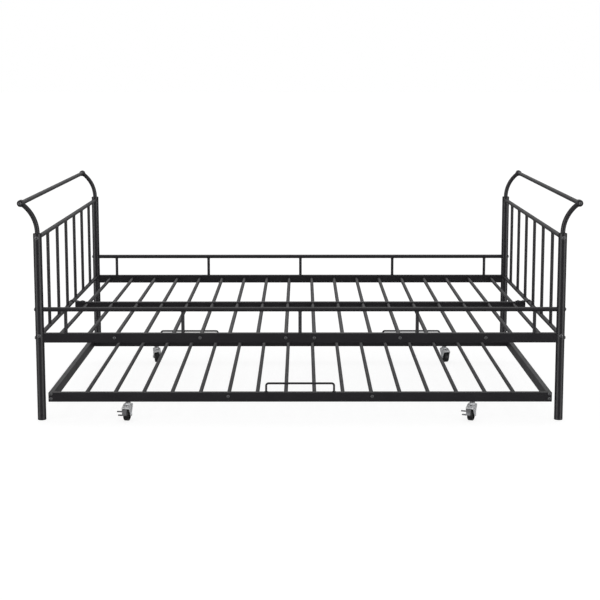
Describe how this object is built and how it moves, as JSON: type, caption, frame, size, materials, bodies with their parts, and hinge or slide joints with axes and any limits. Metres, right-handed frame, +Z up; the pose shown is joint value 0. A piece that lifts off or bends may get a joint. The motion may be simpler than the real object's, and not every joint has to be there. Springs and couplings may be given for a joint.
{
  "type": "trundle bed",
  "caption": "Black tubular steel day bed with curled end bars, low guard rails and a slatted base, over a low slatted trundle frame that rolls out on swivel casters.",
  "frame": {"origin": "on the floor, under the middle of the bed", "axes": "+X along the bed towards its right end, +Y from the open front towards the back, +Z up"},
  "size_m": [2.0948, 1.4641, 0.8342],
  "materials": {
    "black_powder_coat": "satin black powder coat with a fine orange peel",
    "black_oxide_steel": "satin black oxide on small hardware, a little lighter than the paint",
    "plain_steel": "bare turned steel, hidden inside the tubes",
    "zinc_plate": "bright zinc plate on pressed steel",
    "wheel_nylon": "black nylon with a slight gloss",
    "black_plastic": "moulded black plastic with a fine grain"
  },
  "bodies": {
    "bed_frame": {"post_front_left": "black_powder_coat", "post_front_right": "black_powder_coat", "side_rail_front": "black_powder_coat", "guard_rail_front": "black_powder_coat", "guard_spindles_front": "black_powder_coat", "slats_front_row": "black_powder_coat", "post_back_left": "black_powder_coat", "post_back_right": "black_powder_coat", "side_rail_back": "black_powder_coat", "guard_rail_back": "black_powder_coat", "guard_spindles_back": "black_powder_coat", "slats_back_row": "black_powder_coat", "scroll_tubes_left": "black_powder_coat", "top_bar_left": "black_powder_coat", "upper_cross_rail_left": "black_powder_coat", "lower_cross_rail_left": "black_powder_coat", "end_spindles_left": "black_powder_coat", "scroll_tubes_right": "black_powder_coat", "top_bar_right": "black_powder_coat", "upper_cross_rail_right": "black_powder_coat", "lower_cross_rail_right": "black_powder_coat", "end_spindles_right": "black_powder_coat", "post_collars": "black_powder_coat", "scroll_bosses": "black_powder_coat", "centre_rail": "black_powder_coat", "centre_rail_brackets": "black_powder_coat", "post_glides": "black_plastic", "frame_bolts": "black_oxide_steel", "slat_bolts": "black_oxide_steel", "bracket_bolts": "black_oxide_steel", "rail_end_plugs": "plain_steel", "slat_end_plugs": "plain_steel"},
    "trundle": {"trundle_front_rail": "black_powder_coat", "trundle_back_rail": "black_powder_coat", "trundle_side_rail_left": "black_powder_coat", "trundle_side_rail_right": "black_powder_coat", "trundle_slats": "black_powder_coat", "mattress_stop_front": "black_powder_coat", "mattress_stop_back_left": "black_powder_coat", "mattress_stop_back_right": "black_powder_coat", "trundle_end_caps": "black_plastic", "stop_grommets": "black_plastic", "trundle_bolts": "black_oxide_steel", "caster_nuts": "black_oxide_steel", "trundle_plugs": "plain_steel", "caster_stems": "zinc_plate"},
    "caster_front_left": {"caster_fork_front_left": "zinc_plate", "caster_axle_front_left": "zinc_plate"},
    "wheel_front_left": {"caster_wheel_front_left": "wheel_nylon"},
    "brake_front_left": {"brake_pedal_front_left": "black_oxide_steel"},
    "caster_front_right": {"caster_fork_front_right": "zinc_plate", "caster_axle_front_right": "zinc_plate"},
    "wheel_front_right": {"caster_wheel_front_right": "wheel_nylon"},
    "brake_front_right": {"brake_pedal_front_right": "black_oxide_steel"},
    "caster_back_left": {"caster_fork_back_left": "zinc_plate", "caster_axle_back_left": "zinc_plate"},
    "wheel_back_left": {"caster_wheel_back_left": "wheel_nylon"},
    "caster_back_right": {"caster_fork_back_right": "zinc_plate", "caster_axle_back_right": "zinc_plate"},
    "wheel_back_right": {"caster_wheel_back_right": "wheel_nylon"}
  },
  "joints": [
    {"name": "trundle_slide", "type": "slide", "parent": "bed_frame", "child": "trundle", "axis": [0, -1, 0], "range_m": [-0.4, 1.15]},
    {"name": "caster_swivel_front_left", "type": "hinge", "parent": "trundle", "child": "caster_front_left", "pos_m": [-0.65, -0.7, 0.06], "axis": [0, 0, 1], "continuous": true},
    {"name": "wheel_spin_front_left", "type": "hinge", "parent": "caster_front_left", "child": "wheel_front_left", "pos_m": [-0.65209, -0.71485, 0.025], "axis": [0.9903, -0.1392, 0], "continuous": true},
    {"name": "brake_press_front_left", "type": "hinge", "parent": "caster_front_left", "child": "brake_front_left", "pos_m": [-0.65438, -0.73119, 0.047], "axis": [0.9903, -0.1392, 0], "range_deg": [0, 5]},
    {"name": "caster_swivel_front_right", "type": "hinge", "parent": "trundle", "child": "caster_front_right", "pos_m": [0.65, -0.7, 0.06], "axis": [0, 0, 1], "continuous": true},
    {"name": "wheel_spin_front_right", "type": "hinge", "parent": "caster_front_right", "child": "wheel_front_right", "pos_m": [0.64438, -0.71391, 0.025], "axis": [0.9272, -0.3746, 0], "continuous": true},
    {"name": "brake_press_front_right", "type": "hinge", "parent": "caster_front_right", "child": "brake_front_right", "pos_m": [0.6382, -0.72921, 0.047], "axis": [0.9272, -0.3746, 0], "range_deg": [0, 5]},
    {"name": "caster_swivel_back_left", "type": "hinge", "parent": "trundle", "child": "caster_back_left", "pos_m": [-0.65, 0.305, 0.06], "axis": [0, 0, 1], "continuous": true},
    {"name": "wheel_spin_back_left", "type": "hinge", "parent": "caster_back_left", "child": "wheel_back_left", "pos_m": [-0.64688, 0.29033, 0.025], "axis": [0.9781, 0.2079, 0], "continuous": true},
    {"name": "caster_swivel_back_right", "type": "hinge", "parent": "trundle", "child": "caster_back_right", "pos_m": [0.65, 0.305, 0.06], "axis": [0, 0, 1], "continuous": true},
    {"name": "wheel_spin_back_right", "type": "hinge", "parent": "caster_back_right", "child": "wheel_back_right", "pos_m": [0.65388, 0.29051, 0.025], "axis": [0.9659, 0.2588, 0], "continuous": true}
  ]
}
